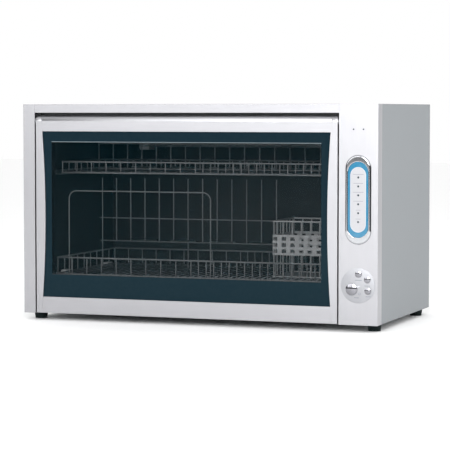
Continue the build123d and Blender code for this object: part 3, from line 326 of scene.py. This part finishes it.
def piece(name, body, finish, build, bevel=0.0):
    """A new closed mesh that rides on a body."""

    def build_outward(shape):
        build(shape)
        bmesh.ops.recalc_face_normals(shape, faces=shape.faces)

    thing = new_object(name, build_outward)
    paint(thing, finish)
    if bevel:
        modifier = thing.modifiers.new("bevel", "BEVEL")
        modifier.width = bevel
        modifier.segments = PIECE_BEVEL_SEGMENTS
        modifier.limit_method = "ANGLE"
    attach(thing, body)


def add_block(shape, low, high):
    """A closed box between two corners."""
    corners = [
        shape.verts.new((x, y, z)) for x in (low[0], high[0]) for y in (low[1], high[1])
        for z in (low[2], high[2])
    ]
    faces = ((0, 1, 3, 2), (4, 6, 7, 5), (0, 4, 5, 1), (2, 3, 7, 6), (0, 2, 6, 4), (1, 5, 7, 3))
    for face in faces:
        shape.faces.new([corners[i] for i in face])


def add_bar(shape, middle, width, height, depths):
    """A flat bar round a place on the front, between two depths."""
    add_block(
        shape,
        (middle[0] - width / 2, depths[0], middle[1] - height / 2),
        (middle[0] + width / 2, depths[1], middle[1] + height / 2),
    )


def add_band(shape, outer, inner, depths):
    """A closed flat band between two outlines of as many points, from one depth to another."""
    rings = [
        [shape.verts.new((x, y, z)) for x, z in outline]
        for outline in (outer, inner) for y in depths
    ]
    outer_front, outer_back, inner_front, inner_back = rings
    count = len(outer)
    for i in range(count):
        j = (i + 1) % count
        for a, b in (
            (outer_front, inner_front), (outer_back, outer_front),
            (inner_back, outer_back), (inner_front, inner_back),
        ):
            shape.faces.new((a[i], a[j], b[j], b[i]))


def rounded(x, z, radius, steps=CORNER_STEPS):
    """The outline of a rectangle with round corners, as points."""
    points = []
    corners = (  # the centre of each corner's arc, and the angle that it starts at
        (x[1] - radius, z[1] - radius, 0), (x[0] + radius, z[1] - radius, 90),
        (x[0] + radius, z[0] + radius, 180), (x[1] - radius, z[0] + radius, 270),
    )
    for centre_x, centre_z, start in corners:
        for i in range(steps + 1):
            angle = math.radians(start + 90 * i / steps)
            points.append(
                (centre_x + radius * math.cos(angle), centre_z + radius * math.sin(angle))
            )
    return points


# ---------------------------------------------------------------- printed glass border, a painted highlight line and a dark line

WINDOW_SIDE = 33 * MM  # from the door's side edge to the clear window
WINDOW_TOP = 54 * MM  # from the door's top edge
WINDOW_BOTTOM = 79 * MM  # from its bottom edge
WINDOW_RADIUS = 2 * MM
STRIP_END = 11 * MM  # the narrowest part of a side strip
UNDER_STRIP = 1 * MM  # how far the print goes on behind a strip
PRINT_DEPTH = 0.12 * MM
LINE_WIDTH = 1.1 * MM

glass_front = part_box("door_glass")[0].y
left_low, left_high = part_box("door_left_strip")
right_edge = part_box("door_right_strip")[1].x
top_strip_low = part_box("door_top_strip")[0].z
bottom_strip_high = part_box("door_bottom_strip")[1].z
window_x = (left_low.x + WINDOW_SIDE, right_edge - WINDOW_SIDE)
window_z = (left_low.z + WINDOW_BOTTOM, left_high.z - WINDOW_TOP)
border_x = (left_low.x + STRIP_END - UNDER_STRIP, right_edge - STRIP_END + UNDER_STRIP)
border_z = (bottom_strip_high - UNDER_STRIP, top_strip_low + UNDER_STRIP)
print_y = (glass_front - PRINT_DEPTH, glass_front)
line_y = (print_y[0] - PRINT_DEPTH / 2, print_y[0])


def add_border(shape):
    """The dark print round the clear window."""
    border = rounded(border_x, border_z, WINDOW_RADIUS)
    add_band(shape, border, rounded(window_x, window_z, WINDOW_RADIUS), print_y)


def add_line(low_z):
    """A thin line as wide as the window, from a height up."""
    return lambda shape: add_block(
        shape, (window_x[0], line_y[0], low_z), (window_x[1], line_y[1], low_z + LINE_WIDTH)
    )


piece("glass_printed_border", "door", "frit", add_border)
# The line above the window is a painted highlight; the line below is a plain dark line.
piece("glass_line_above", "door", "window_highlight_line", add_line(window_z[1]))
piece("glass_line_below", "door", "dark_line", add_line(window_z[0] - LINE_WIDTH))

# ---------------------------------------------------------------- marks on the indicator

LABEL_WIDTHS = (10 * MM, 9 * MM, 19 * MM, 21 * MM, 19 * MM, 21 * MM)  # from the lowest lamp up
LABEL_HEIGHT = 1.1 * MM
LABEL_RISE = 5.8 * MM  # from a lamp's middle to the middle of its bar
MARK_DEPTH = 0.08 * MM
LIP_WIDTH = 1.6 * MM
LIP_PROUD = 0.35 * MM
LIP_BEVEL = 0.15 * MM

insert_low, insert_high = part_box("indicator_insert")
lamps_low, lamps_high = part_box("indicator_lamps")
lamp_radius = (lamps_high.x - lamps_low.x) / 2
lamps_span = lamps_high.z - lamps_low.z - 2 * lamp_radius
lamp_heights = [
    lamps_low.z + lamp_radius + i * lamps_span / (len(LABEL_WIDTHS) - 1)
    for i in range(len(LABEL_WIDTHS))
]
insert_x, insert_z = (insert_low.x, insert_high.x), (insert_low.z, insert_high.z)
insert_radius = (insert_high.x - insert_low.x) / 2


def add_labels(shape):
    """A plain bar over each lamp, as wide as the caption that it stands for."""
    middle = (insert_low.x + insert_high.x) / 2
    depths = (insert_low.y - MARK_DEPTH, insert_low.y)
    for z, width in zip(lamp_heights, LABEL_WIDTHS):
        add_bar(shape, (middle, z + LABEL_RISE), width, LABEL_HEIGHT, depths)


def add_lip(shape):
    """The raised edge of the insert, in a lighter white than the insert: a painted highlight along
    it.
    """
    inner_x = (insert_x[0] + LIP_WIDTH, insert_x[1] - LIP_WIDTH)
    inner_z = (insert_z[0] + LIP_WIDTH, insert_z[1] - LIP_WIDTH)
    outer = rounded(insert_x, insert_z, insert_radius, LIP_STEPS)
    inner = rounded(inner_x, inner_z, insert_radius - LIP_WIDTH, LIP_STEPS)
    add_band(shape, outer, inner, (insert_low.y - LIP_PROUD, insert_low.y))


piece("indicator_label_bars", "cabinet", "print_pale", add_labels)
piece("indicator_insert_lip", "cabinet", "lip_highlight_white", add_lip, bevel=LIP_BEVEL)

# ---------------------------------------------------------------- marks on the control disc

# Each caption's place off the middle of its button, and its width.
CAPTIONS = {
    "option_button_1": (0, -11.4 * MM, 13 * MM),
    "option_button_2": (0, -11.6 * MM, 11 * MM),
    "option_button_3": (0.5 * MM, -10.4 * MM, 9.5 * MM),
    "power_button": (9.6 * MM, -15.6 * MM, 9.5 * MM),
}
CAPTION_HEIGHT = 1.5 * MM
LAMP_MARK = (3.2 * MM, -15 * MM)  # a small ring, off the disc's middle
LAMP_MARK_RADII = (2.6 * MM, 1.7 * MM)
DISC_RIM = 1.2 * MM
DISC_DOME = 3 * MM

disc_low, disc_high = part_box("control_disc")
disc_middle = (disc_low + disc_high) / 2
disc_radius = (disc_high.x - disc_low.x) / 2


def dome_y(x, z):
    """The depth of the disc's domed face at a place on it."""
    rise = DISC_DOME - DISC_RIM
    dome = (disc_radius**2 + rise**2) / (2 * rise)
    off = (x - disc_middle.x) ** 2 + (z - disc_middle.z) ** 2
    return disc_low.y + dome - math.sqrt(dome**2 - off)


def mark_depths(x, z):
    """The depths between which a mark at a place on the dome lies: a little proud, and sunk in."""
    y = dome_y(x, z)
    return (y - MARK_DEPTH, y + 2 * MARK_DEPTH)


def add_captions(shape):
    """A plain bar beside each button, and the ring of a small lamp."""
    for button, (across, up, width) in CAPTIONS.items():
        low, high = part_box(button)
        x, z = (low.x + high.x) / 2 + across, (low.z + high.z) / 2 + up
        for part in (-1, 0, 1):  # in three lengths, so that the bar follows the dome
            place = x + part * width / 3
            add_bar(shape, (place, z), width / 3, CAPTION_HEIGHT, mark_depths(place, z))
    x, z = disc_middle.x + LAMP_MARK[0], disc_middle.z + LAMP_MARK[1]
    rings = [rounded((x - r, x + r), (z - r, z + r), r) for r in LAMP_MARK_RADII]
    add_band(shape, *rings, mark_depths(x, z))


piece("button_caption_bars", "cabinet", "print_grey", add_captions)

# ---------------------------------------------------------------- floor and cards

FLOOR_REACH = 12  # from the middle to each side

# Dark cards stand beside the object, out of sight, so that the chrome has something to mirror:
# name, azimuth, distance, width, height.
CARDS = (
    ("card_left", -75, 2.4, 3.8, 0.8),
    ("card_right", 68, 2.2, 3.6, 0.7),
)


def add_floor():
    """A pale floor that reaches out of the picture."""
    floor = new_object("floor", lambda shape: bmesh.ops.create_grid(
        shape, x_segments=1, y_segments=1, size=FLOOR_REACH
    ))
    paint(floor, "floor")


def add_card(name, azimuth, distance, width, height):
    """A dark card that is seen only in reflections."""
    angle = math.radians(azimuth)
    centre = Vector((math.sin(angle), -math.cos(angle), 0)) * distance
    along = Vector((math.cos(angle), math.sin(angle), 0)) * (width / 2)
    up = Vector((0, 0, height))
    corners = (centre - along, centre + along, centre + along + up, centre - along + up)
    card = new_object(
        name, lambda shape: shape.faces.new([shape.verts.new(corner) for corner in corners])
    )
    card.visible_camera = False
    card.visible_diffuse = False
    card.visible_shadow = False
    paint(card, "dark_card")


add_floor()
for card in CARDS:
    add_card(*card)

# ---------------------------------------------------------------- surround

# The surround's brightness in front from left to right, behind the object, and overhead.
FRONT_STOPS = [(0.05, 0.0), (0.28, 0.02), (0.5, 0.25), (0.7, 0.02), (0.95, 0.0)]
BACK_LEVEL = 1.0
ABOVE_LEVEL = 1.15
FRONT_TO_BACK = [(0.35, 0.0), (0.65, 1.0)]
SIDES_TO_ABOVE = [(0.6, 0.0), (0.85, 1.0)]
MIX_FIRST, MIX_SECOND, MIX_RESULT = 6, 7, 2  # a mix node's sockets for colours


def set_world():
    """A plain studio surround: white behind the object and overhead, dim at the sides in front."""
    world = bpy.data.worlds.new("studio")
    world.use_nodes = True
    tree = world.node_tree
    place = tree.nodes.new("ShaderNodeTexCoord")
    split = tree.nodes.new("ShaderNodeSeparateXYZ")
    tree.links.new(place.outputs["Generated"], split.inputs[0])

    def half(axis):
        """A direction's component along an axis, from 0 to 1."""
        shift = tree.nodes.new("ShaderNodeMath")
        shift.operation = "MULTIPLY_ADD"
        shift.inputs[1].default_value = 0.5
        shift.inputs[2].default_value = 0.5
        tree.links.new(split.outputs[axis], shift.inputs[0])
        return shift.outputs[0]

    def mixed(factor, first, second):
        """A mix of two values, each of them a grey or a socket."""
        mix = tree.nodes.new("ShaderNodeMix")
        mix.data_type = "RGBA"
        tree.links.new(factor, mix.inputs["Factor"])
        for socket, value in ((mix.inputs[MIX_FIRST], first), (mix.inputs[MIX_SECOND], second)):
            if isinstance(value, float):
                socket.default_value = (value, value, value, 1)
            else:
                tree.links.new(value, socket)
        return mix.outputs[MIX_RESULT]

    front = ramp(tree, half("X"), FRONT_STOPS)
    level = mixed(ramp(tree, half("Y"), FRONT_TO_BACK), front, BACK_LEVEL)
    colour = mixed(ramp(tree, half("Z"), SIDES_TO_ABOVE), level, ABOVE_LEVEL)
    tree.links.new(colour, tree.nodes["Background"].inputs["Color"])
    scene.world = world


set_world()

# ---------------------------------------------------------------- lights

FRONT_AIM = (0, 0, 0.25)
KEY_SIZE = (1.2, 1.2)
LIGHTS = (  # name, place, aim, size, power in watts
    ("key_right", (0.6, -2.8, 1.2), FRONT_AIM, KEY_SIZE, 68),
    ("key_middle", (-0.2, -2.7, 1.1), FRONT_AIM, KEY_SIZE, 4),
    ("key_left", (-0.9, -2.6, 1.1), FRONT_AIM, KEY_SIZE, 10),
    ("key_far_left", (-1.6, -2.4, 1.0), FRONT_AIM, KEY_SIZE, 7),
    ("fill", (3.0, 0.4, 1.8), (0.3, 0, 0.2), (1.6, 1.6), 20),
)


def add_area_light(name, place, aim, size, power):
    """A soft light at a place, turned to what it aims at."""
    data = bpy.data.lights.new(name, "AREA")
    data.shape = "RECTANGLE"
    data.size, data.size_y = size
    data.energy = power
    light = bpy.data.objects.new(name, data)
    light.location = place
    light.rotation_mode = "QUATERNION"
    light.rotation_quaternion = (Vector(aim) - Vector(place)).to_track_quat("-Z", "Y")
    light.visible_camera = False
    scene.collection.objects.link(light)


for light in LIGHTS:
    add_area_light(*light)
scene.view_settings.view_transform = "Standard"
